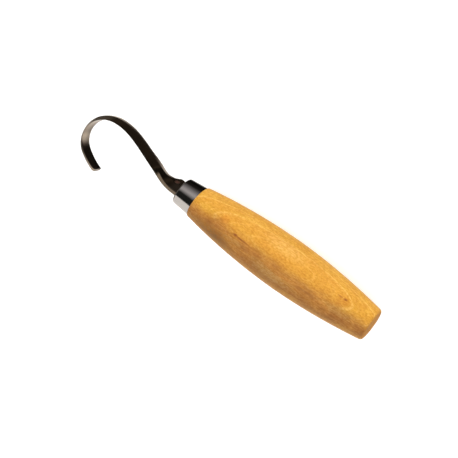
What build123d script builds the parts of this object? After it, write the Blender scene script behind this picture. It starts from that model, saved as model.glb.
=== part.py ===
from build123d import *
import math
import os

# Hook knife: a forged steel hook blade with a tang, an oval steel ferrule and a barrel-shaped birch handle.
# Millimetres. The origin is the centre of the handle's flat butt face. +X runs along the handle towards
# the hook, +Z is square to the plane that the hook is bent in, and the hook's tip curls back on the +Y side.
# Across the knife, "near" is the cutting edge's side (+Z) and "far" is the spine's side (-Z).

# Handle: an oval barrel. Half widths are the oval's short axis, and a ratio gives its long axis.
handle_length = 99.0
belly_x = 46.0
butt_half = 7.8
belly_half = 11.35
joint_half = 7.2
butt_ratio = 1.06
belly_ratio = 1.18
joint_ratio = 1.25
handle_stations = 9
butt_round = 1.5
shoulder_round = 0.6
oval_roll = 28.0

# Ferrule: a tapered oval cup with its closed face towards the hook
ferrule_length = 9.6
ferrule_back_half = 6.8
ferrule_front_half = 6.0
ferrule_ratio = 1.25
ferrule_wall = 0.8
ferrule_face = 1.2
ferrule_lip_round = 0.7
ferrule_back_round = 0.15
slot_clearance = 0.05
spigot_clearance = 0.02

# Blade path: the middle of the inner face, from the ferrule's front face to the tip
root_run = 5.8
root_bend_radius = 27.8
root_bend_angle = 21.7
neck_run = 11.5
hook_bends = [(78.0, 5.9), (29.6, 18.6), (14.2, 40.4), (10.5, 98.9), (31.7, 20.1)]
root_offset = 0.9

# Blade section: distances along the path are measured from the ferrule's front face
twist_hold = 3.0
twist_end = 16.0
stock_thickness = 2.05
tip_thickness = 1.65
thinning_start = 34.0
edge_thickness = 0.15
runout_start = 12.5
runout_end = 18.5
root_near_half = 4.5
root_far_half = 4.65
shoulder_half = 5.3
shoulder_distance = 4.4
flare_end = 8.5
neck_half = 4.35
hook_half = 3.85
hook_start = 45.0
spine_flat = 3.4
tip_flat = 6.45
flat_widening_start = 54.0
flat_widening_end = 76.0
spine_drop = 0.12
neck_drop = 0.75
neck_drop_start = 3.0
neck_drop_full = 8.0
neck_drop_fade = 10.0
neck_drop_end = 24.0
neck_spread = 0.8
neck_swell = 0.3
swell_start = 10.0
swell_full = 16.0
swell_end = 26.0
crown = 0.08
tip_corner = 2.0
tip_bevel = 1.0
blade_stations = 48

# Tang, the mortise that it sits in, and the cured adhesive round it
tang_length = 56.0
tang_end_half = 2.4
mortise_depth = 62.0
mortise_width = 3.2
mortise_front_height = 10.4
mortise_deep_height = 7.6
mortise_step = 26.0

joint_x = handle_length
ferrule_front_x = joint_x + ferrule_length
spigot_end_x = ferrule_front_x - ferrule_face


def mix(first, second, share):
    return first + (second - first) * share


def ease(value, start, end):
    """Smooth step from 0 at start to 1 at end."""
    share = min(max((value - start) / (end - start), 0.0), 1.0)
    return share * share * (3.0 - 2.0 * share)


# Handle and ferrule: oval sections along X


def handle_half(x):
    """Short half width of the barrel: two parabolas that meet level at the belly."""
    if x < belly_x:
        return belly_half - (belly_half - butt_half) * ((belly_x - x) / belly_x) ** 2
    return belly_half - (belly_half - joint_half) * ((x - belly_x) / (joint_x - belly_x)) ** 2


def handle_ratio(x):
    if x < belly_x:
        return mix(butt_ratio, belly_ratio, x / belly_x)
    return mix(belly_ratio, joint_ratio, (x - belly_x) / (joint_x - belly_x))


def cross_plane(x):
    """Plane across the handle, facing the hook: local X is the oval's long axis, towards the near side."""
    roll = math.radians(oval_roll)
    return Plane(origin=(x, 0, 0), x_dir=(0, math.sin(roll), math.cos(roll)), z_dir=(1, 0, 0))


def ferrule_half(x):
    return mix(ferrule_back_half, ferrule_front_half, (x - joint_x) / ferrule_length)


def oval(x, short_half, long_half):
    with BuildSketch(cross_plane(x)) as section:
        Ellipse(long_half, short_half)
    return section.sketch


def handle_oval(x):
    return oval(x, handle_half(x), handle_half(x) * handle_ratio(x))


def ferrule_oval(x, inset=0.0):
    return oval(x, ferrule_half(x) - inset, ferrule_half(x) * ferrule_ratio - inset)


# Blade strip: its path, bent in the hook plane, and its section at each distance along the path
with BuildLine() as hook_path:
    run = Line((ferrule_front_x, root_offset), (ferrule_front_x + root_run, root_offset))
    root_bend = JernArc(run @ 1, run % 1, root_bend_radius, -root_bend_angle)
    last = PolarLine(root_bend @ 1, neck_run, direction=root_bend % 1)
    for bend_radius, bend_angle in hook_bends:
        last = JernArc(last @ 1, last % 1, bend_radius, bend_angle)
path = hook_path.wire()
path_length = path.length


def blade_plane(distance):
    """Plane across the strip: local X points out of the hook, local Y to the near side."""
    point = path.position_at(distance, position_mode=PositionMode.LENGTH)
    tangent = path.tangent_at(distance, position_mode=PositionMode.LENGTH)
    twist = math.radians(oval_roll) * (1 - ease(distance, twist_hold, twist_end))
    outward = Vector(tangent.Y, -tangent.X, 0) * math.cos(twist) + Vector(0, 0, math.sin(twist))
    centring = Vector(0, 0, -stock_thickness / 2 * math.sin(twist))
    return Plane(origin=point + centring, x_dir=outward, z_dir=-tangent)


def half_width(distance, root_half):
    """Half width of the strip before the shoulder and the tip's rounded corner."""
    neck = mix(root_half, neck_half, ease(distance, 0, flare_end))
    return mix(neck, hook_half, ease(distance, flare_end, hook_start))


def near_half(distance):
    """Half width towards the cutting edge, with a rounded corner at the tip."""
    into_corner = max(distance - (path_length - tip_corner), 0.0)
    rounding = tip_corner - math.sqrt(tip_corner**2 - into_corner**2)
    return half_width(distance, root_near_half) - rounding


def swell_share(distance):
    """1 at the neck's end, where the strip is heaviest, and 0 at the root and on the hook."""
    return ease(distance, swell_start, swell_full) * (1 - ease(distance, swell_full, swell_end))


def far_half(distance):
    """Half width towards the spine: it flares from the neck to a shoulder, and is then nearly parallel."""
    if distance < shoulder_distance:
        return mix(root_far_half, shoulder_half, distance / shoulder_distance)
    flare = min(max((flare_end - distance) / (flare_end - shoulder_distance), 0.0), 1.0)
    spread = neck_spread * swell_share(distance)
    return half_width(distance, neck_half) + (shoulder_half - neck_half) * flare**2 + spread


def strip_corners(thickness, edge, near, far, ridge, drop):
    """Corners, (outward, towards the near side): inner face, cutting edge, bevel ridge and spine flat."""
    return [(0, near), (edge, near), (thickness, ridge), (thickness - drop, -far), (0, -far)]


def blade_corners(distance):
    thickness = mix(stock_thickness, tip_thickness, ease(distance, thinning_start, path_length))
    thickness += neck_swell * swell_share(distance)
    edge = mix(thickness - crown, edge_thickness, ease(distance, runout_start, runout_end))
    near = near_half(distance)
    far = far_half(distance)
    flat = mix(spine_flat, tip_flat, ease(distance, flat_widening_start, flat_widening_end))
    ridge = min(flat - half_width(distance, neck_half), near - tip_bevel)
    tilted = ease(distance, neck_drop_start, neck_drop_full) * (1 - ease(distance, neck_drop_fade, neck_drop_end))
    return strip_corners(thickness, edge, near, far, ridge, spine_drop + neck_drop * tilted)


def tang_corners(depth):
    near = mix(root_near_half, tang_end_half, depth / tang_length)
    far = mix(root_far_half, tang_end_half, depth / tang_length)
    ridge = mix(spine_flat - root_far_half, 0, depth / tang_length)
    return strip_corners(stock_thickness, stock_thickness - crown, near, far, ridge, spine_drop)


def blade_section(distance):
    with BuildSketch(blade_plane(distance)) as section:
        with BuildLine():
            Polyline(*blade_corners(distance), close=True)
        make_face()
    return section.sketch


def tang_section(depth):
    with BuildSketch(blade_plane(0).offset(depth)) as section:
        with BuildLine():
            Polyline(*tang_corners(depth), close=True)
        make_face()
    return section.sketch


station_gap = (path_length - shoulder_distance) / blade_stations
blade_distances = [shoulder_distance + number * station_gap for number in range(blade_stations + 1)]
blade_distances += [path_length - tip_corner * share for share in (1.2, 0.5, 0.2)]

with BuildPart() as hook_blade:
    loft([blade_section(distance) for distance in sorted(blade_distances)])
    loft([blade_section(distance) for distance in (0, shoulder_distance)], ruled=True)
    loft([tang_section(depth) for depth in (0, tang_length)], ruled=True)
hook_blade.part.label = "hook_blade"


# Ferrule: a closed oval cup, open at the back, with a slot for the blade
root_plane = blade_plane(0)
slot_width = stock_thickness + 2 * slot_clearance
slot_height = root_near_half + root_far_half + 2 * slot_clearance
with BuildPart() as ferrule:
    loft([ferrule_oval(joint_x), ferrule_oval(ferrule_front_x)])
    rims = ferrule.edges().group_by(Axis.X)
    fillet(rims[-1], ferrule_lip_round)
    fillet(rims[0], ferrule_back_round)
    loft([ferrule_oval(joint_x, ferrule_wall), ferrule_oval(spigot_end_x, ferrule_wall)], mode=Mode.SUBTRACT)
    with BuildSketch(root_plane.offset(-ferrule_lip_round)):
        with Locations((stock_thickness / 2, (root_near_half - root_far_half) / 2)):
            Rectangle(slot_width, slot_height)
    extrude(amount=ferrule_length / 2, mode=Mode.SUBTRACT)
ferrule.part.label = "ferrule"


# Handle: the barrel, its spigot under the ferrule, and the oblong mortise for the tang
def mortise(height, start_x, end_x):
    with BuildPart() as cavity:
        with BuildSketch(cross_plane(end_x)):
            SlotOverall(height, mortise_width)
        extrude(amount=start_x - end_x)
    return cavity.part


wall = ferrule_wall + spigot_clearance
with BuildPart() as handle:
    loft([handle_oval(joint_x * number / (handle_stations - 1)) for number in range(handle_stations)])
    ends = handle.edges().group_by(Axis.X)
    fillet(ends[0], butt_round)
    fillet(ends[-1], shoulder_round)
    loft([ferrule_oval(joint_x, wall), ferrule_oval(spigot_end_x, wall)])
    add(mortise(mortise_front_height, spigot_end_x, joint_x - mortise_step), mode=Mode.SUBTRACT)
    add(mortise(mortise_deep_height, joint_x - mortise_step, joint_x - mortise_depth), mode=Mode.SUBTRACT)
handle.part.label = "handle"


# Tang bedding: the cured adhesive that fills the mortise round the tang
with BuildPart() as tang_bedding:
    add(mortise(mortise_front_height, spigot_end_x, joint_x - mortise_step))
    add(mortise(mortise_deep_height, joint_x - mortise_step, joint_x - mortise_depth))
    add(hook_blade.part, mode=Mode.SUBTRACT)
tang_bedding.part.label = "tang_bedding"


os.makedirs("parts", exist_ok=True)
for piece in (hook_blade, ferrule, handle, tang_bedding):
    export_step(piece.part, f"parts/{piece.part.label}.step")
    print(piece.part.label, len(piece.part.solids()), round(piece.part.volume, 1), piece.part.bounding_box())
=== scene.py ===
import math

import bpy
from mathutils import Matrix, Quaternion, Vector


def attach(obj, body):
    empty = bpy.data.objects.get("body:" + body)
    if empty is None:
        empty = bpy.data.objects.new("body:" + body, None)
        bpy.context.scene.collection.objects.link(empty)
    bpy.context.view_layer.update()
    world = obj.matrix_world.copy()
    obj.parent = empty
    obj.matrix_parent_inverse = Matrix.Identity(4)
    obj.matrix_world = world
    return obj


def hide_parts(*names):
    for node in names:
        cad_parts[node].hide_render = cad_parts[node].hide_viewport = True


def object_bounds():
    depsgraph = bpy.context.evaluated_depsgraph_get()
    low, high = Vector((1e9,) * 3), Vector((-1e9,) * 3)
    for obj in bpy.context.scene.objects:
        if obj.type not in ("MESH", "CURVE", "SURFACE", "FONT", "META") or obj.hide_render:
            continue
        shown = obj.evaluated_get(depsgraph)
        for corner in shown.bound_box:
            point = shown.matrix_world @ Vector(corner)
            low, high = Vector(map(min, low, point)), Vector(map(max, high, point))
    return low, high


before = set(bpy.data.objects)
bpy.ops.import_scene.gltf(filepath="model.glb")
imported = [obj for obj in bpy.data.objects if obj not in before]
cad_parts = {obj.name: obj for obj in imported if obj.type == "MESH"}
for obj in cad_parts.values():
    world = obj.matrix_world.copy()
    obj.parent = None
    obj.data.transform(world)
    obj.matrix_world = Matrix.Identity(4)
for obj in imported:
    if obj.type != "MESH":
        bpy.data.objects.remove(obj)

# Looks for the hook knife: blade, ferrule and handle are built here as fine meshes on the CAD's dimensions,
# and the adhesive round the tang keeps its CAD mesh. Lengths in the sections below are millimetres in the
# row frame, and MM turns them into metres where a mesh, a light or the camera is made.
MM = 0.001
cad_low, cad_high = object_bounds()

# Handle
HANDLE_LENGTH = 99.0
BELLY_X = 46.0
BUTT_HALF = 7.8
BELLY_HALF = 11.35
JOINT_HALF = 7.2
BUTT_RATIO = 1.06
BELLY_RATIO = 1.18
JOINT_RATIO = 1.25
BUTT_ROUND = 1.5
SHOULDER_ROUND = 0.6
OVAL_ROLL = math.radians(28.0)
MORTISE_WIDTH = 3.2
MORTISE_FRONT_HEIGHT = 10.4
MORTISE_DEEP_HEIGHT = 7.6
MORTISE_STEP = 26.0
MORTISE_DEPTH = 62.0

# Ferrule
FERRULE_LENGTH = 9.6
FERRULE_BACK_HALF = 6.8
FERRULE_FRONT_HALF = 6.0
FERRULE_RATIO = 1.25
FERRULE_WALL = 0.8
FERRULE_FACE = 1.2
FERRULE_LIP_ROUND = 0.7
FERRULE_BACK_ROUND = 0.15
SLOT_CLEARANCE = 0.05
SLOT_CHAMFER = 0.1
SPIGOT_CLEARANCE = 0.02

# Blade path and section, as in the CAD model
ROOT_RUN = 5.8
ROOT_BEND_RADIUS = 27.8
ROOT_BEND_ANGLE = 21.7
NECK_RUN = 11.5
HOOK_BENDS = [(78.0, 5.9), (29.6, 18.6), (14.2, 40.4), (10.5, 98.9), (31.7, 20.1)]
ROOT_OFFSET = 0.9
TWIST_HOLD = 3.0
TWIST_END = 16.0
STOCK_THICKNESS = 2.05
TIP_THICKNESS = 1.65
THINNING_START = 34.0
EDGE_THICKNESS = 0.15
RUNOUT_START = 12.5
RUNOUT_END = 18.5
ROOT_NEAR_HALF = 4.5
ROOT_FAR_HALF = 4.65
SHOULDER_HALF = 5.3
SHOULDER_DISTANCE = 4.4
FLARE_END = 8.5
NECK_HALF = 4.35
HOOK_HALF = 3.85
HOOK_START = 45.0
SPINE_FLAT = 3.4
TIP_FLAT = 6.45
FLAT_WIDENING_START = 54.0
FLAT_WIDENING_END = 76.0
SPINE_DROP = 0.12
NECK_DROP = 0.75
NECK_DROP_START = 3.0
NECK_DROP_FULL = 8.0
NECK_DROP_FADE = 10.0
NECK_DROP_END = 24.0
NECK_SPREAD = 0.8
NECK_SWELL = 0.3
SWELL_START = 10.0
SWELL_FULL = 16.0
SWELL_END = 26.0
CROWN = 0.08
TIP_CORNER = 2.0
TIP_BEVEL = 1.0
TANG_LENGTH = 56.0
TANG_END_HALF = 2.4

# Fineness of the meshes
OVAL_POINTS = 160
BARREL_RINGS = 120
ROUND_STEPS = 8
BLADE_RING_GAP = 0.3
TANG_RINGS = 14
CORNER_STEPS = 4

# The blade section's five sides, in order: edge land, bevel, outer flat, spine flat and inner face. Each has its
# divisions, its bulge as a share of its length, and its share of (edge land, bevel, inner face).
SIDE_STEPS = [1, 5, 6, 2, 6]
SIDE_BULGES = [0.0, 0.0, 0.012, 0.0, 0.0]
EDGE_LAND, BEVEL, INNER_FACE, PLAIN_SIDE = (1.0, 0.0, 0.0), (0.0, 1.0, 0.0), (0.0, 0.0, 1.0), (0.0, 0.0, 0.0)
SIDE_KINDS = [EDGE_LAND, BEVEL, PLAIN_SIDE, PLAIN_SIDE, INNER_FACE]
CORNER_ROUNDS = [0.03, 0.03, 0.1, 0.2, 0.15]
TIP_ROUND = 0.12

FERRULE_FRONT_X = HANDLE_LENGTH + FERRULE_LENGTH
SPIGOT_END_X = FERRULE_FRONT_X - FERRULE_FACE
HOOK_RUNS = [(math.radians(angle) * radius, 1.0 / radius) for radius, angle in HOOK_BENDS]
ROOT_BEND = (math.radians(ROOT_BEND_ANGLE) * ROOT_BEND_RADIUS, -1.0 / ROOT_BEND_RADIUS)
PATH_RUNS = [(ROOT_RUN, 0.0), ROOT_BEND, (NECK_RUN, 0.0)] + HOOK_RUNS
PATH_LENGTH = sum(length for length, curvature in PATH_RUNS)


def mix(first, second, share):
    return first + (second - first) * share


def ease(value, start, end):
    """Smooth step from 0 at start to 1 at end."""
    share = min(max((value - start) / (end - start), 0.0), 1.0)
    return share * share * (3.0 - 2.0 * share)


# Meshes


def skin(name, rings, joined_ends=False):
    """Mesh through rings of equally many points, closed at both ends, or joined end to start. Points in mm."""
    count = len(rings[0])
    points = [Vector(point) * MM for ring in rings for point in ring]
    faces = []
    pairs = len(rings) if joined_ends else len(rings) - 1
    for number in range(pairs):
        here = number * count
        there = (number + 1) % len(rings) * count
        for step in range(count):
            after = (step + 1) % count
            faces.append((here + step, here + after, there + after, there + step))
    if not joined_ends:
        faces.append(tuple(reversed(range(count))))
        faces.append(tuple(range((len(rings) - 1) * count, len(rings) * count)))
    mesh = bpy.data.meshes.new(name)
    mesh.from_pydata(points, [], faces)
    mesh.validate()
    mesh.shade_smooth()
    piece = bpy.data.objects.new(name, mesh)
    bpy.context.scene.collection.objects.link(piece)
    return piece


def finished(piece, node, material):
    """The piece stands for the CAD node, with flat faces kept flat in the shading."""
    piece.modifiers.new("face_normals", "WEIGHTED_NORMAL")
    piece.data.materials.append(material)
    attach(piece, "root")
    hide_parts(node)


def turns(count):
    return [2.0 * math.pi * step / count for step in range(count)]


def across_handle(x, long_part, short_part):
    """Point in the plane across the handle, from the oval's long and short axes."""
    y = long_part * math.sin(OVAL_ROLL) - short_part * math.cos(OVAL_ROLL)
    z = long_part * math.cos(OVAL_ROLL) + short_part * math.sin(OVAL_ROLL)
    return (x, y, z)


def oval_ring(x, short_half, long_half):
    return [
        across_handle(x, long_half * math.cos(turn), short_half * math.sin(turn))
        for turn in turns(OVAL_POINTS)
    ]


def oblong_ring(x, height, width):
    """Ring of a slot with round ends, its points on rays from the centre."""
    radius = width / 2
    half_run = height / 2 - radius
    ring = []
    for turn in turns(OVAL_POINTS):
        ray_long, ray_short = math.cos(turn), math.sin(turn)
        if abs(radius * ray_long) <= abs(half_run * ray_short):
            reach = radius / abs(ray_short)
        else:
            reach = half_run * abs(ray_long) + math.sqrt(radius**2 - (half_run * ray_short) ** 2)
        ring.append(across_handle(x, reach * ray_long, reach * ray_short))
    return ring


# Handle: the barrel with its rounded ends, the spigot, and the two-step mortise


def handle_half(x):
    if x < BELLY_X:
        return BELLY_HALF - (BELLY_HALF - BUTT_HALF) * ((BELLY_X - x) / BELLY_X) ** 2
    return BELLY_HALF - (BELLY_HALF - JOINT_HALF) * ((x - BELLY_X) / (HANDLE_LENGTH - BELLY_X)) ** 2


def handle_ratio(x):
    if x < BELLY_X:
        return mix(BUTT_RATIO, BELLY_RATIO, x / BELLY_X)
    return mix(BELLY_RATIO, JOINT_RATIO, (x - BELLY_X) / (HANDLE_LENGTH - BELLY_X))


def barrel_ring(x, wall_x, inset):
    half = handle_half(wall_x)
    return oval_ring(x, half - inset, half * handle_ratio(wall_x) - inset)


def rounded_end(end_x, inward, radius):
    """Rings round an end's edge, from its flat face to the barrel's wall. Inward is 1 at the butt, -1 at the joint."""
    slope = math.atan2(handle_half(end_x + inward * radius) - handle_half(end_x), radius)
    wall_x = end_x + inward * radius * (1.0 - math.sin(slope))
    rings = []
    for step in range(ROUND_STEPS + 1):
        angle = (math.pi / 2 - slope) * step / ROUND_STEPS
        x = end_x + inward * radius * (1.0 - math.cos(angle))
        rings.append(barrel_ring(x, wall_x, radius * (math.cos(slope) - math.sin(angle))))
    return rings, wall_x


def handle_rings():
    butt, first_x = rounded_end(0.0, 1, BUTT_ROUND)
    shoulder, last_x = rounded_end(HANDLE_LENGTH, -1, SHOULDER_ROUND)
    rings = list(butt)
    for number in range(1, BARREL_RINGS):
        x = mix(first_x, last_x, number / BARREL_RINGS)
        rings.append(barrel_ring(x, x, 0.0))
    rings += reversed(shoulder)
    wall = FERRULE_WALL + SPIGOT_CLEARANCE
    step_x = HANDLE_LENGTH - MORTISE_STEP
    rings.append(ferrule_ring(HANDLE_LENGTH, wall))
    rings.append(ferrule_ring(SPIGOT_END_X, wall))
    rings.append(oblong_ring(SPIGOT_END_X, MORTISE_FRONT_HEIGHT, MORTISE_WIDTH))
    rings.append(oblong_ring(step_x, MORTISE_FRONT_HEIGHT, MORTISE_WIDTH))
    rings.append(oblong_ring(step_x, MORTISE_DEEP_HEIGHT, MORTISE_WIDTH))
    rings.append(oblong_ring(HANDLE_LENGTH - MORTISE_DEPTH, MORTISE_DEEP_HEIGHT, MORTISE_WIDTH))
    return rings


# Ferrule: outside wall, rolled lip, closed face with its slot, and the hollow behind


def ferrule_half(x):
    return mix(FERRULE_BACK_HALF, FERRULE_FRONT_HALF, (x - HANDLE_LENGTH) / FERRULE_LENGTH)


def ferrule_ring(x, inset):
    half = ferrule_half(x)
    return oval_ring(x, half - inset, half * FERRULE_RATIO - inset)


def slot_ring(x, clearance):
    """Ring of the blade's oblong slot, with its points paired with the oval's."""
    half_long = (ROOT_NEAR_HALF + ROOT_FAR_HALF) / 2 + clearance
    half_short = STOCK_THICKNESS / 2 + clearance
    ring = []
    for turn in turns(OVAL_POINTS):
        reach = max(abs(math.cos(turn)), abs(math.sin(turn)))
        out = STOCK_THICKNESS / 2 + half_short * math.sin(turn) / reach
        near = (ROOT_NEAR_HALF - ROOT_FAR_HALF) / 2 + half_long * math.cos(turn) / reach
        point = blade_point(0.0, out, near)
        ring.append((x, point.y, point.z))
    return ring


def ferrule_rings():
    rings = []
    for step in range(ROUND_STEPS + 1):
        angle = math.pi / 2 * step / ROUND_STEPS
        x = HANDLE_LENGTH + FERRULE_BACK_ROUND * (1.0 - math.sin(angle))
        rings.append(ferrule_ring(x, FERRULE_BACK_ROUND * (1.0 - math.cos(angle))))
    rings.reverse()
    wall_end = FERRULE_FRONT_X - FERRULE_LIP_ROUND
    for number in range(1, ROUND_STEPS):
        x = mix(HANDLE_LENGTH + FERRULE_BACK_ROUND, wall_end, number / ROUND_STEPS)
        rings.append(ferrule_ring(x, 0.0))
    for step in range(ROUND_STEPS + 1):
        angle = math.pi / 2 * step / ROUND_STEPS
        x = wall_end + FERRULE_LIP_ROUND * math.sin(angle)
        rings.append(ferrule_ring(x, FERRULE_LIP_ROUND * (1.0 - math.cos(angle))))
    rings.append(slot_ring(FERRULE_FRONT_X, SLOT_CLEARANCE + SLOT_CHAMFER))
    rings.append(slot_ring(FERRULE_FRONT_X - SLOT_CHAMFER, SLOT_CLEARANCE))
    rings.append(slot_ring(SPIGOT_END_X, SLOT_CLEARANCE))
    rings.append(ferrule_ring(SPIGOT_END_X, FERRULE_WALL))
    rings.append(ferrule_ring(HANDLE_LENGTH, FERRULE_WALL))
    return rings


# Blade: sections across the strip, from the tang's end to the tip


def path_at(distance):
    """Point and heading of the inner face's middle line. Distances behind the ferrule's face are negative."""
    x, y, heading = FERRULE_FRONT_X, ROOT_OFFSET, 0.0
    for length, curvature in PATH_RUNS:
        run = min(distance, length)
        turned = heading + curvature * run
        if curvature:
            x += (math.sin(turned) - math.sin(heading)) / curvature
            y -= (math.cos(turned) - math.cos(heading)) / curvature
        else:
            x += run * math.cos(heading)
            y += run * math.sin(heading)
        heading = turned
        distance -= run
        if distance <= 0:
            break
    return x, y, heading


def blade_point(distance, out, near):
    """Point of the section: out is measured outwards from the inner face, near towards the cutting edge."""
    x, y, heading = path_at(distance)
    twist = OVAL_ROLL * (1.0 - ease(distance, TWIST_HOLD, TWIST_END))
    along = Vector((math.cos(heading), math.sin(heading), 0.0))
    outward = Vector((along.y, -along.x, 0.0)) * math.cos(twist) + Vector((0.0, 0.0, math.sin(twist)))
    nearward = outward.cross(along)
    centring = Vector((0.0, 0.0, -STOCK_THICKNESS / 2 * math.sin(twist)))
    return Vector((x, y, 0.0)) + centring + outward * out + nearward * near


def half_width(distance, root_half):
    neck = mix(root_half, NECK_HALF, ease(distance, 0, FLARE_END))
    return mix(neck, HOOK_HALF, ease(distance, FLARE_END, HOOK_START))


def near_half(distance):
    into_corner = max(distance - (PATH_LENGTH - TIP_CORNER), 0.0)
    rounding = TIP_CORNER - math.sqrt(TIP_CORNER**2 - into_corner**2)
    return half_width(distance, ROOT_NEAR_HALF) - rounding


def swell_share(distance):
    """1 at the neck's end, where the strip is heaviest, and 0 at the root and on the hook."""
    return ease(distance, SWELL_START, SWELL_FULL) * (1.0 - ease(distance, SWELL_FULL, SWELL_END))


def far_half(distance):
    if distance < SHOULDER_DISTANCE:
        return mix(ROOT_FAR_HALF, SHOULDER_HALF, distance / SHOULDER_DISTANCE)
    flare = min(max((FLARE_END - distance) / (FLARE_END - SHOULDER_DISTANCE), 0.0), 1.0)
    spread = NECK_SPREAD * swell_share(distance)
    return half_width(distance, NECK_HALF) + (SHOULDER_HALF - NECK_HALF) * flare**2 + spread


def strip_corners(thickness, edge, near, far, ridge, drop):
    """Corners of a section, (out, near): inner face, cutting edge, bevel ridge and spine flat."""
    return [(0, near), (edge, near), (thickness, ridge), (thickness - drop, -far), (0, -far)]


def blade_corners(distance):
    thickness = mix(STOCK_THICKNESS, TIP_THICKNESS, ease(distance, THINNING_START, PATH_LENGTH))
    thickness += NECK_SWELL * swell_share(distance)
    edge = mix(thickness - CROWN, EDGE_THICKNESS, ease(distance, RUNOUT_START, RUNOUT_END))
    near = near_half(distance)
    far = far_half(distance)
    flat = mix(SPINE_FLAT, TIP_FLAT, ease(distance, FLAT_WIDENING_START, FLAT_WIDENING_END))
    ridge = min(flat - half_width(distance, NECK_HALF), near - TIP_BEVEL)
    tilted = ease(distance, NECK_DROP_START, NECK_DROP_FULL) * (1.0 - ease(distance, NECK_DROP_FADE, NECK_DROP_END))
    return strip_corners(thickness, edge, near, far, ridge, SPINE_DROP + NECK_DROP * tilted)


def tang_corners(depth):
    share = depth / TANG_LENGTH
    near = mix(ROOT_NEAR_HALF, TANG_END_HALF, share)
    far = mix(ROOT_FAR_HALF, TANG_END_HALF, share)
    ridge = mix(SPINE_FLAT - ROOT_FAR_HALF, 0, share)
    return strip_corners(STOCK_THICKNESS, STOCK_THICKNESS - CROWN, near, far, ridge, SPINE_DROP)


def softened(corners, inset):
    """Section outline: each corner is cut to a short curve, and each side is divided and slightly bulged.

    Gives (out, near) points, and for each the share of (edge land, bevel, inner face) that it lies on."""
    middle = Vector((sum(c[0] for c in corners), sum(c[1] for c in corners))) / len(corners)
    places = [Vector(corner) for corner in corners]
    places = [place + (middle - place).normalized() * inset for place in places]
    count = len(places)
    cuts = []
    for number, corner in enumerate(places):
        before = places[number - 1] - corner
        after = places[(number + 1) % count] - corner
        cut = min(CORNER_ROUNDS[number], before.length / 3, after.length / 3)
        cuts.append((corner + before.normalized() * cut, corner + after.normalized() * cut))
    outline, kinds = [], []
    for number, (corner, (start, end)) in enumerate(zip(places, cuts)):
        kind, kind_before = Vector(SIDE_KINDS[number]), Vector(SIDE_KINDS[number - 1])
        for step in range(CORNER_STEPS + 1):
            share = step / CORNER_STEPS
            outline.append(start.lerp(corner, share).lerp(corner.lerp(end, share), share))
            kinds.append(kind_before.lerp(kind, share))
        side = cuts[(number + 1) % count][0] - end
        outwards = Vector((side.y, -side.x)) * SIDE_BULGES[number]
        for step in range(1, SIDE_STEPS[number]):
            share = step / SIDE_STEPS[number]
            outline.append(end + side * share + outwards * 4 * share * (share - 1))
            kinds.append(kind)
    return outline, kinds


def blade_piece():
    stations = [(-TANG_LENGTH * (1 - number / TANG_RINGS), 0.0) for number in range(TANG_RINGS)]
    count = round(PATH_LENGTH / BLADE_RING_GAP)
    stations += [((PATH_LENGTH - TIP_ROUND) * number / count, 0.0) for number in range(count + 1)]
    for step in range(1, CORNER_STEPS + 1):
        angle = math.pi / 2 * step / CORNER_STEPS
        rounding = TIP_ROUND * (1.0 - math.cos(angle))
        stations.append((PATH_LENGTH - TIP_ROUND * (1.0 - math.sin(angle)), rounding))
    rings, strip, sides = [], [], []
    for distance, inset in stations:
        corners = tang_corners(-distance) if distance < 0 else blade_corners(distance)
        outline, kinds = softened(corners, inset)
        rings.append([blade_point(distance, out, near) for out, near in outline])
        strip += [value for out, near in outline for value in (distance, out, near)]
        sides += [value for kind in kinds for value in kind]
    piece = skin("hook_blade_steel", rings)
    for name, values in (("strip", strip), ("side_shares", sides)):
        placed = piece.data.attributes.new(name, "FLOAT_VECTOR", "POINT")
        placed.data.foreach_set("vector", values)
    return piece


# Materials


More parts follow.
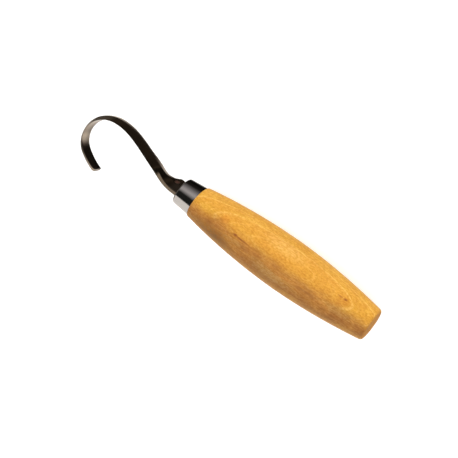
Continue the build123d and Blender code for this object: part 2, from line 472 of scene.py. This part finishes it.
class Shader:
    """A node material: node() adds one node, and the named helpers below add the common ones."""

    def __init__(self, name):
        self.material = bpy.data.materials.new(name)
        self.material.use_nodes = True
        self.tree = self.material.node_tree
        self.surface = self.tree.nodes["Principled BSDF"]

    def node(self, kind, settings=None, **inputs):
        made = self.tree.nodes.new(kind)
        for name, value in (settings or {}).items():
            setattr(made, name, value)
        for name, value in inputs.items():
            self.feed(made.inputs[int(name[1:])] if name[1:].isdigit() else made.inputs[name], value)
        return made

    def feed(self, socket, value):
        if isinstance(value, bpy.types.NodeSocket):
            self.tree.links.new(value, socket)
        else:
            socket.default_value = value

    def math(self, operation, first, second=0.0):
        return self.node("ShaderNodeMath", {"operation": operation}, _0=first, _1=second).outputs[0]

    def vector(self, operation, first, second=(0.0, 0.0, 0.0)):
        return self.node("ShaderNodeVectorMath", {"operation": operation}, _0=first, _1=second).outputs[0]

    def noise(self, place, stretch, detail=2.0, roughness=0.5, distortion=0.0):
        """Noise from 0 to 1 with cells of about the given size in mm along each axis."""
        scaled = self.vector("DIVIDE", place, stretch)
        made = self.node("ShaderNodeTexNoise", {"noise_dimensions": "3D"}, Vector=scaled, Scale=1.0)
        made.inputs["Detail"].default_value = detail
        made.inputs["Roughness"].default_value = roughness
        made.inputs["Distortion"].default_value = distortion
        return made.outputs["Fac"]

    def fade(self, value, start, end, low=0.0, high=1.0):
        settings = {"interpolation_type": "SMOOTHSTEP"}
        made = self.node("ShaderNodeMapRange", settings, Value=value)
        for name, number in zip(("From Min", "From Max", "To Min", "To Max"), (start, end, low, high)):
            made.inputs[name].default_value = number
        return made.outputs["Result"]

    def blend(self, share, first, second, kind="MIX"):
        settings = {"data_type": "RGBA", "blend_type": kind}
        made = self.node("ShaderNodeMix", settings, _0=share, _6=first, _7=second)
        return made.outputs[2]

    def add(self, *values):
        total = values[0]
        for value in values[1:]:
            total = self.math("ADD", total, value)
        return total

    def dot(self, first, second):
        made = self.node("ShaderNodeVectorMath", {"operation": "DOT_PRODUCT"}, _0=first, _1=second)
        return made.outputs["Value"]

    def spot(self, place, centre, reach):
        """1 at the centre of an ellipsoid, fading to 0 at its surface, with a slightly broken outline."""
        offset = self.vector("DIVIDE", self.vector("SUBTRACT", place, centre), reach)
        away = self.node("ShaderNodeVectorMath", {"operation": "LENGTH"}, _0=offset).outputs["Value"]
        broken = self.math("MULTIPLY", self.noise(place, (1.6, 0.9, 0.9), 2.0), 0.5)
        return self.fade(self.add(away, broken), 1.25, 0.45)

    def bump(self, height, depth, strength=1.0):
        """Bump whose height runs from 0 to depth in mm."""
        made = self.node("ShaderNodeBump", None, Height=height, Strength=strength)
        made.inputs["Distance"].default_value = depth * MM
        return made.outputs["Normal"]

    def object_place(self):
        """Object coordinates in mm."""
        coordinates = self.node("ShaderNodeTexCoord").outputs["Object"]
        return self.vector("DIVIDE", coordinates, (MM, MM, MM))


# Birch: linear colours, and marks as (centre, reach) ellipsoids in mm
GOLDEN = ((0.52, 0.246, 0.020, 1.0), (0.565, 0.297, 0.029, 1.0))
LATE_WOOD = (0.53, 0.22, 0.020, 1.0)
OVAL_INSIDE = (0.54, 0.245, 0.024, 1.0)
PALE_LINE = (0.72, 0.45, 0.095, 1.0)
CURLED_GRAIN = (0.52, 0.22, 0.024, 1.0)
BELLY_HIGHLIGHT_COLOUR = (0.64, 0.37, 0.085, 1.0)
STAIN_AND_SHADE = ((0.30, 0.108, 0.016, 1.0), (0.455, 0.192, 0.031, 1.0))
STAIN_SHEEN = (0.35, 0.185, 0.042, 1.0)
STAIN_FIBRE = (0.22, 0.078, 0.012, 1.0)
STAIN_SMOKE = (0.15, 0.068, 0.014, 1.0)
STAIN_PALE = (0.42, 0.25, 0.075, 1.0)
KNOT_HALO = (0.42, 0.155, 0.014, 1.0)
KNOT_HEART = (0.20, 0.035, 0.002, 1.0)
STREAK_COLOUR = (0.20, 0.045, 0.004, 1.0)
PATCH_COLOUR = (0.50, 0.17, 0.012, 1.0)
SPECKLE = ((0.86, 0.78, 0.55, 1.0), (1.10, 1.17, 1.55, 1.0))
FIBRE_COLOUR = (0.30, 0.11, 0.012, 1.0)
PORE_COLOUR = (0.27, 0.080, 0.008, 1.0)
END_GRAIN = ((0.44, 0.18, 0.024, 1.0), (0.56, 0.25, 0.034, 1.0))
END_GRAIN_RING = (0.34, 0.13, 0.018, 1.0)

KNOT = ((15.0, -5.4, 8.4), (3.6, 2.6, 3.0))
HALO = ((15.4, -3.8, 9.0), (4.6, 3.4, 3.5))
FLECK = ((14.8, -5.4, 8.3), (1.35, 0.68, 1.8))
FLECK_TAIL = ((17.6, -5.5, 8.7), (2.0, 0.6, 1.8))
BELLY_HIGHLIGHT = ((50.0, -9.0, 8.0), (16.0, 5.0, 6.0))
STREAK = ((69.0, -1.0, 12.0), (7.0, 0.6, 3.0))
STREAK_HEAD = ((72.3, -1.25, 11.6), (2.0, 0.9, 3.0))
PATCH = ((80.8, -4.0, 9.4), (3.2, 2.8, 3.5))
STAIN_DIP = ((81.0, 1.0, 10.0), (9.0, 9.0, 9.0))
SMOKY = ((80.0, 5.0, 8.5), (16.0, 6.0, 7.0))
PALE_STRETCH = ((49.0, 4.8, 12.4), (15.0, 3.2, 5.0))

# Its growth layers are square to GRAIN_NORMAL, with lengths in mm
GRAIN_ANGLE = math.radians(122.0)
GRAIN_NORMAL = (0.0, math.cos(GRAIN_ANGLE), math.sin(GRAIN_ANGLE))
RING_GAP = 2.1
RING_LINE_AT = 9.47
FINE_RING_GAP = 0.75


def birch_material():
    """Oiled birch, cut so that its flat growth rings make long closed ovals on the barrel's front.

    It is golden, with a browner stretch along the +Y side that is partly stain and partly painted shade, fine pores and
    a small knot."""
    wood = Shader("oiled_birch")
    place = wood.object_place()
    axes = wood.node("ShaderNodeSeparateXYZ", None, Vector=place)
    angle = wood.math("DEGREES", wood.math("ARCTAN2", axes.outputs["Z"], axes.outputs["Y"]))

    # Growth rings: depth through the layers, wavering a little and bent round the knot
    waver = wood.math("SUBTRACT", wood.noise(place, (24.0, 8.0, 8.0), 2.0), 0.5)
    ripple = wood.math("SUBTRACT", wood.noise(place, (4.0, 1.2, 1.2), 2.0), 0.5)
    knot = wood.spot(place, *KNOT)
    depth = wood.dot(place, GRAIN_NORMAL)
    depth = wood.add(depth, wood.math("MULTIPLY", waver, 1.1), wood.math("MULTIPLY", ripple, 0.1))
    depth = wood.add(depth, wood.math("MULTIPLY", knot, 0.5))
    cycle = wood.math("FRACT", wood.math("DIVIDE", wood.math("SUBTRACT", depth, RING_LINE_AT), RING_GAP))
    from_line = wood.math("PINGPONG", cycle, 0.5)
    line = wood.math("MULTIPLY", wood.fade(from_line, 0.10, 0.02), wood.fade(depth, 10.8, 10.3))
    late = wood.fade(cycle, 0.95, 0.1)

    # Figure at several sizes, and a painted highlight on the belly
    clouds = wood.noise(place, (11.0, 4.5, 4.5), 4.0, 0.6)
    curl = wood.noise(place, (3.2, 2.2, 2.2), 4.0, 0.65, 0.4)
    mottle = wood.noise(place, (1.3, 0.7, 0.7), 2.0, 0.6)
    fibres = wood.noise(place, (9.0, 0.45, 0.45), 3.0, 0.6)
    pores = wood.noise(place, (1.6, 0.38, 0.38), 1.0)

    golden = wood.blend(wood.fade(clouds, 0.35, 0.68), *GOLDEN)
    golden = wood.blend(wood.math("MULTIPLY", late, 0.25), golden, LATE_WOOD)
    inside = wood.fade(depth, 9.3, 10.0, 0.0, 0.4)
    golden = wood.blend(inside, golden, OVAL_INSIDE)
    golden = wood.blend(wood.math("MULTIPLY", line, 0.42), golden, PALE_LINE)
    layers = wood.math("PINGPONG", wood.math("DIVIDE", depth, FINE_RING_GAP), 0.5)
    golden = wood.blend(wood.fade(layers, 0.14, 0.02, 0.0, 0.16), golden, PALE_LINE)
    golden = wood.blend(wood.fade(curl, 0.42, 0.66, 0.0, 0.26), golden, CURLED_GRAIN)
    # Painted highlight: a lighter spot high on the belly's -Y side, where the side softbox shines
    belly_highlight = wood.spot(place, *BELLY_HIGHLIGHT)
    golden = wood.blend(wood.math("MULTIPLY", belly_highlight, 0.4), golden, BELLY_HIGHLIGHT_COLOUR)

    # The brown stretch, partly stain and partly painted shade on the side turned from the side softbox: a band by angle
    # about X, with a ragged upper border and a dip near the ferrule
    ragged = wood.math("SUBTRACT", wood.noise(place, (14.0, 5.0, 5.0), 5.0, 0.65), 0.5)
    dip = wood.spot(place, *STAIN_DIP)
    border = wood.add(angle, wood.math("MULTIPLY", ragged, -38.0), wood.math("MULTIPLY", dip, -11.0))
    stain_and_shade = wood.math("MULTIPLY", wood.fade(border, 117.0, 80.0), wood.fade(angle, 32.0, 64.0))
    brown = wood.blend(wood.fade(clouds, 0.34, 0.66), *STAIN_AND_SHADE)
    # Painted sheen: lighter olive patches scattered in the brown stretch
    sheen_patches = wood.noise(place, (15.0, 4.0, 4.0), 2.0)
    brown = wood.blend(wood.fade(sheen_patches, 0.5, 0.66, 0.0, 0.5), brown, STAIN_SHEEN)
    brown = wood.blend(wood.fade(fibres, 0.42, 0.66, 0.0, 0.6), brown, STAIN_FIBRE)
    smoky = wood.spot(place, *SMOKY)
    smoky = wood.math("MULTIPLY", smoky, wood.fade(mottle, 0.35, 0.6, 0.3, 0.95))
    brown = wood.blend(smoky, brown, STAIN_SMOKE)
    pale = wood.spot(place, *PALE_STRETCH)
    brown = wood.blend(wood.math("MULTIPLY", pale, 0.5), brown, STAIN_PALE)
    colour = wood.blend(wood.math("MULTIPLY", stain_and_shade, 0.9), golden, brown)

    # Knot, its halo, a dark streak, and a round orange patch near the ferrule
    halo = wood.spot(place, *HALO)
    colour = wood.blend(wood.math("MULTIPLY", halo, 0.4), colour, KNOT_HALO)
    fleck = wood.spot(place, *FLECK)
    tail = wood.spot(place, *FLECK_TAIL)
    fleck = wood.math("MAXIMUM", fleck, wood.math("MULTIPLY", tail, 0.5))
    colour = wood.blend(wood.math("MULTIPLY", fleck, 0.8), colour, KNOT_HEART)
    streak = wood.spot(place, *STREAK)
    streak_head = wood.spot(place, *STREAK_HEAD)
    dark = wood.math("MAXIMUM", wood.math("MULTIPLY", streak, 0.75), wood.math("MULTIPLY", streak_head, 0.9))
    colour = wood.blend(dark, colour, STREAK_COLOUR)
    patch = wood.spot(place, *PATCH)
    colour = wood.blend(wood.math("MULTIPLY", patch, 0.4), colour, PATCH_COLOUR)

    # Fine speckle and pores along the grain
    speckle = wood.blend(wood.fade(mottle, 0.3, 0.7), *SPECKLE)
    colour = wood.blend(1.0, colour, speckle, "MULTIPLY")
    colour = wood.blend(wood.fade(fibres, 0.45, 0.72, 0.0, 0.14), colour, FIBRE_COLOUR)
    colour = wood.blend(wood.fade(pores, 0.54, 0.72, 0.0, 0.26), colour, PORE_COLOUR)

    # End grain on the butt soaks up the oil: darker and matt
    facing = wood.node("ShaderNodeSeparateXYZ", None, Vector=wood.node("ShaderNodeNewGeometry").outputs["Normal"])
    end_grain = wood.fade(facing.outputs["X"], -0.6, -0.95)
    rays = wood.noise(place, (3.0, 0.35, 0.35), 2.0)
    end_colour = wood.blend(wood.fade(rays, 0.35, 0.65), *END_GRAIN)
    end_colour = wood.blend(wood.math("MULTIPLY", late, 0.4), end_colour, END_GRAIN_RING)
    colour = wood.blend(wood.math("MULTIPLY", end_grain, 0.85), colour, end_colour)

    wood.feed(wood.surface.inputs["Base Color"], colour)
    rough = wood.fade(clouds, 0.3, 0.7, 0.44, 0.54)
    wood.feed(wood.surface.inputs["Roughness"], wood.add(rough, wood.math("MULTIPLY", end_grain, 0.35)))
    wood.surface.inputs["Specular IOR Level"].default_value = 0.35
    relief = wood.math("ADD", wood.math("MULTIPLY", pores, -0.6), wood.math("MULTIPLY", fibres, -0.4))
    wood.feed(wood.surface.inputs["Normal"], wood.bump(relief, 0.05, 0.5))
    return wood.material


# Steels: linear colours, with the blade's places in its strip coordinates (distance, out, near)
BLADE_COLOURS = ((0.34, 0.285, 0.225, 1.0), (0.40, 0.345, 0.28, 1.0))
BLADE_SHADE = (0.15, 0.12, 0.085, 1.0)
BLADE_INNER_SHADE = (0.15, 0.13, 0.105, 1.0)
GLINT = ((4.6, 2.05, -1.6), (1.9, 1.5, 1.7))
GLINT_COLOUR = (0.60, 0.33, 0.26, 1.0)
FERRULE_COLOURS = ((0.57, 0.57, 0.57, 1.0), (0.63, 0.63, 0.625, 1.0))
FERRULE_SHADE = (0.14, 0.15, 0.165, 1.0)
RESIN_COLOURS = ((0.30, 0.20, 0.10, 1.0), (0.52, 0.42, 0.27, 1.0))


def blade_material():
    """Polished hook steel with fine lines along the strip.

    The cutting edge, the tip's end and the spine's half of the inner face are painted darker, as painted shade
    standing in for dark reflections, and a small reddish painted glint lies on the outside of the neck, rougher there."""
    steel = Shader("polished_blade_steel")
    strip = steel.node("ShaderNodeAttribute", {"attribute_name": "strip"}).outputs["Vector"]
    shares = steel.node("ShaderNodeAttribute", {"attribute_name": "side_shares"}).outputs["Vector"]
    sides = steel.node("ShaderNodeSeparateXYZ", None, Vector=shares)
    lines = steel.noise(strip, (9.0, 0.12, 0.12), 3.0, 0.6)
    haze = steel.noise(strip, (7.0, 2.5, 2.5), 3.0, 0.6)
    colour = steel.blend(haze, *BLADE_COLOURS)
    places = steel.node("ShaderNodeSeparateXYZ", None, Vector=strip)
    # Painted shade: the cutting edge's land is painted darker, in place of a dark reflection
    colour = steel.blend(steel.math("MULTIPLY", sides.outputs["X"], 0.8), colour, BLADE_SHADE)
    along = places.outputs["X"]
    # Painted shade: the tip's end is painted darker, in place of a dark reflection
    tip = steel.fade(along, PATH_LENGTH - TIP_ROUND, PATH_LENGTH - TIP_ROUND / 2, 0.0, 0.6)
    colour = steel.blend(tip, colour, BLADE_SHADE)
    # Painted shade: the inner face darkens towards the spine, in place of a dark reflection
    hollow = steel.fade(places.outputs["Z"], 1.5, -3.8, 0.0, 0.75)
    colour = steel.blend(steel.math("MULTIPLY", sides.outputs["Z"], hollow), colour, BLADE_INNER_SHADE)
    # Painted glint: a small reddish spot on the outside of the neck, also made rougher
    glint = steel.spot(strip, *GLINT)
    colour = steel.blend(glint, colour, GLINT_COLOUR)
    steel.feed(steel.surface.inputs["Base Color"], colour)
    steel.surface.inputs["Metallic"].default_value = 1.0
    rough = steel.fade(haze, 0.3, 0.7, 0.10, 0.17)
    steel.feed(steel.surface.inputs["Roughness"], steel.add(rough, steel.math("MULTIPLY", glint, 0.5)))
    steel.feed(steel.surface.inputs["Normal"], steel.bump(lines, 0.004, 0.6))
    return steel.material


def ferrule_material():
    """Pressed steel cup with faint lines round it, bright above, with painted shade low on its -Y side in place of a
    dark reflection.
    """
    steel = Shader("pressed_ferrule_steel")
    place = steel.object_place()
    lines = steel.noise(place, (0.12, 9.0, 9.0), 2.0, 0.6)
    haze = steel.noise(place, (3.0, 3.0, 3.0), 3.0, 0.6)
    colour = steel.blend(haze, *FERRULE_COLOURS)
    axes = steel.node("ShaderNodeSeparateXYZ", None, Vector=place)
    # Painted shade: the cup is darker low on its -Y side, standing in for a dark reflection
    shade_mask = steel.fade(axes.outputs["Z"], 3.8, 2.4)
    shade_mask = steel.math("MULTIPLY", shade_mask, steel.fade(axes.outputs["Y"], -1.0, -4.0))
    colour = steel.blend(shade_mask, colour, FERRULE_SHADE)
    steel.feed(steel.surface.inputs["Base Color"], colour)
    steel.surface.inputs["Metallic"].default_value = 1.0
    steel.feed(steel.surface.inputs["Roughness"], steel.fade(haze, 0.3, 0.7, 0.1, 0.16))
    steel.feed(steel.surface.inputs["Normal"], steel.bump(lines, 0.002, 0.5))
    return steel.material


def adhesive_material():
    """Cured amber resin, cloudy with fine bubbles."""
    resin = Shader("cured_resin")
    place = resin.object_place()
    cloud = resin.noise(place, (2.0, 1.2, 1.2), 4.0, 0.6)
    bubbles = resin.noise(place, (0.35, 0.35, 0.35), 1.0)
    colour = resin.blend(cloud, *RESIN_COLOURS)
    resin.feed(resin.surface.inputs["Base Color"], colour)
    resin.feed(resin.surface.inputs["Roughness"], resin.fade(cloud, 0.3, 0.7, 0.4, 0.6))
    resin.feed(resin.surface.inputs["Normal"], resin.bump(bubbles, 0.05, 0.5))
    return resin.material


# Pieces

blade = blade_piece()
finished(blade, "hook_blade", blade_material())
ferrule = skin("ferrule_cup", ferrule_rings(), joined_ends=True)
finished(ferrule, "ferrule", ferrule_material())
handle = skin("birch_handle", handle_rings())
finished(handle, "handle", birch_material())

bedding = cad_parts["tang_bedding"]
bedding.data.materials.clear()
bedding.data.materials.append(adhesive_material())


# Stage: a pale floor that curves up into a backdrop, with painted light: it glows a little round the knife, washing out
# its shadow
KNIFE_MIDDLE = (80.0, 0.0, 0.0)
GLOW_REACH = (110.0, 260.0)
GLOW_STRENGTH = 0.16
STAGE_FLAT = 700.0
STAGE_CURVE = 500.0
STAGE_HEIGHT = 1600.0
STAGE_POINTS = 96
STAGE_STEPS = 16


def stage_ring(radius, height):
    return [(radius * math.cos(turn), radius * math.sin(turn), height) for turn in turns(STAGE_POINTS)]


def studio_sweep():
    floor_z = cad_low.z / MM
    rings = [stage_ring(1.0, floor_z), stage_ring(STAGE_FLAT, floor_z)]
    for step in range(1, STAGE_STEPS + 1):
        angle = math.pi / 2 * step / STAGE_STEPS
        radius = STAGE_FLAT + STAGE_CURVE * math.sin(angle)
        rings.append(stage_ring(radius, floor_z + STAGE_CURVE * (1 - math.cos(angle))))
    rings.append(stage_ring(STAGE_FLAT + STAGE_CURVE, floor_z + STAGE_HEIGHT))
    sweep = skin("studio_sweep", rings)
    paper = Shader("pale_paper")
    speckle = paper.noise(paper.object_place(), (3.0, 3.0, 3.0), 2.0)
    colour = paper.blend(speckle, (0.93, 0.93, 0.93, 1.0), (0.96, 0.96, 0.96, 1.0))
    paper.feed(paper.surface.inputs["Base Color"], colour)
    paper.surface.inputs["Roughness"].default_value = 0.9
    paper.surface.inputs["Specular IOR Level"].default_value = 0.0
    # Painted light: the floor glows round the knife, fading out with distance
    paper.surface.inputs["Emission Color"].default_value = (1.0, 1.0, 1.0, 1.0)
    from_knife = paper.vector("MULTIPLY", paper.vector("SUBTRACT", paper.object_place(), KNIFE_MIDDLE), (1.0, 1.0, 0.0))
    from_knife = paper.node("ShaderNodeVectorMath", {"operation": "LENGTH"}, _0=from_knife).outputs["Value"]
    paper.feed(paper.surface.inputs["Emission Strength"], paper.fade(from_knife, *GLOW_REACH, GLOW_STRENGTH, 0.0))
    sweep.data.materials.append(paper.material)
    sweep.visible_glossy = False


studio_sweep()


# World: what the steel mirrors, and no diffuse light. Its bands are set for the main camera's view of the steel.
# Angles turn about the handle's axis, from +Y (0) over +Z (90), in degrees.
STUDIO_GLOW = 1.5
STUDIO_BANDS = [
    (-175.0, (0.078, 0.070, 0.068)),
    (-165.0, (0.026, 0.021, 0.018)),
    (-159.0, (0.016, 0.012, 0.009)),
    (-152.0, (0.038, 0.029, 0.022)),
    (-146.0, (0.034, 0.026, 0.020)),
    (-138.0, (0.010, 0.008, 0.006)),
    (-113.0, (0.012, 0.009, 0.007)),
    (-108.0, (0.12, 0.10, 0.09)),
    (-98.0, (0.60, 0.56, 0.52)),
    (-86.0, (0.80, 0.74, 0.68)),
    (-74.0, (0.50, 0.46, 0.43)),
    (-60.0, (0.64, 0.59, 0.545)),
    (64.5, (0.64, 0.59, 0.545)),
    (69.0, (0.010, 0.010, 0.009)),
    (118.0, (0.011, 0.011, 0.010)),
    (145.0, (0.33, 0.30, 0.29)),
    (153.0, (0.33, 0.30, 0.29)),
    (168.0, (0.19, 0.17, 0.168)),
    (180.0, (0.11, 0.10, 0.098)),
]

# Directions towards +X fade to FRONT_SHADE, as their X part goes from the first value of the reach to the second
FRONT_SHADE = (0.085, 0.075, 0.064, 1.0)
FRONT_SHADE_REACH = (0.53, 0.70)


def studio_world():
    world = bpy.data.worlds.new("studio")
    world.use_nodes = True
    tree = world.node_tree
    place = tree.nodes.new("ShaderNodeTexCoord")
    split = tree.nodes.new("ShaderNodeSeparateXYZ")
    angle = tree.nodes.new("ShaderNodeMath")
    angle.operation = "ARCTAN2"
    share = tree.nodes.new("ShaderNodeMapRange")
    share.inputs["From Min"].default_value = -math.pi
    share.inputs["From Max"].default_value = math.pi
    ramp = tree.nodes.new("ShaderNodeValToRGB")
    tree.links.new(place.outputs["Generated"], split.inputs[0])
    tree.links.new(split.outputs["Z"], angle.inputs[0])
    tree.links.new(split.outputs["Y"], angle.inputs[1])
    tree.links.new(angle.outputs[0], share.inputs["Value"])
    tree.links.new(share.outputs["Result"], ramp.inputs["Fac"])
    front = tree.nodes.new("ShaderNodeMapRange")
    front.interpolation_type = "SMOOTHSTEP"
    front.inputs["From Min"].default_value, front.inputs["From Max"].default_value = FRONT_SHADE_REACH
    tree.links.new(split.outputs["X"], front.inputs["Value"])
    shaded = tree.nodes.new("ShaderNodeMix")
    shaded.data_type = "RGBA"
    tree.links.new(front.outputs["Result"], shaded.inputs[0])
    tree.links.new(ramp.outputs["Color"], shaded.inputs[6])
    shaded.inputs[7].default_value = FRONT_SHADE
    tree.links.new(shaded.outputs[2], tree.nodes["Background"].inputs["Color"])
    stops = ramp.color_ramp.elements
    while len(stops) < len(STUDIO_BANDS):
        stops.new(0.5)
    for stop, (degrees, colour) in zip(stops, STUDIO_BANDS):
        stop.position = (degrees + 180.0) / 360.0
        stop.color = (*colour, 1.0)
    tree.nodes["Background"].inputs["Strength"].default_value = STUDIO_GLOW
    world.cycles_visibility.diffuse = False
    bpy.context.scene.world = world


studio_world()


# Lights: a large soft one from the spine's side and above, and an even top light. Neither shows in the steel.


def soft_light(name, place, aim, size, power, colour, shadow=True):
    lamp = bpy.data.lights.new(name, "AREA")
    lamp.shape = "SQUARE"
    lamp.size = size * MM
    lamp.energy = power
    lamp.color = colour
    lamp.use_shadow = shadow
    light = bpy.data.objects.new(name, lamp)
    light.location = Vector(place) * MM
    light.rotation_mode = "QUATERNION"
    light.rotation_quaternion = (Vector(aim) - Vector(place)).to_track_quat("-Z", "Y")
    light.visible_glossy = False
    bpy.context.scene.collection.objects.link(light)


soft_light("side_softbox", (60.0, -680.0, 440.0), KNIFE_MIDDLE, 500.0, 5.4, (1.0, 0.98, 0.95), False)
soft_light("top_softbox", (80.0, 0.0, 1100.0), KNIFE_MIDDLE, 1300.0, 6.0, (1.0, 1.0, 1.0))


# Camera
CAMERA_PLACE = (-71.563, -177.618, 548.134)
CAMERA_AIM = (79.576, 2.034, 0.0)
CAMERA_ROLL = math.radians(-106.741)
CAMERA_LENS = 101.433

lens = bpy.data.cameras.new("camera")
lens.lens = CAMERA_LENS
lens.clip_start = 50.0 * MM
lens.clip_end = 10.0
camera = bpy.data.objects.new("camera", lens)
camera.location = Vector(CAMERA_PLACE) * MM
camera.rotation_mode = "QUATERNION"
facing = (Vector(CAMERA_AIM) - Vector(CAMERA_PLACE)).to_track_quat("-Z", "Y")
camera.rotation_quaternion = facing @ Quaternion((0.0, 0.0, 1.0), CAMERA_ROLL)
bpy.context.scene.collection.objects.link(camera)
bpy.context.scene.camera = camera
bpy.context.scene.view_settings.view_transform = "Standard"
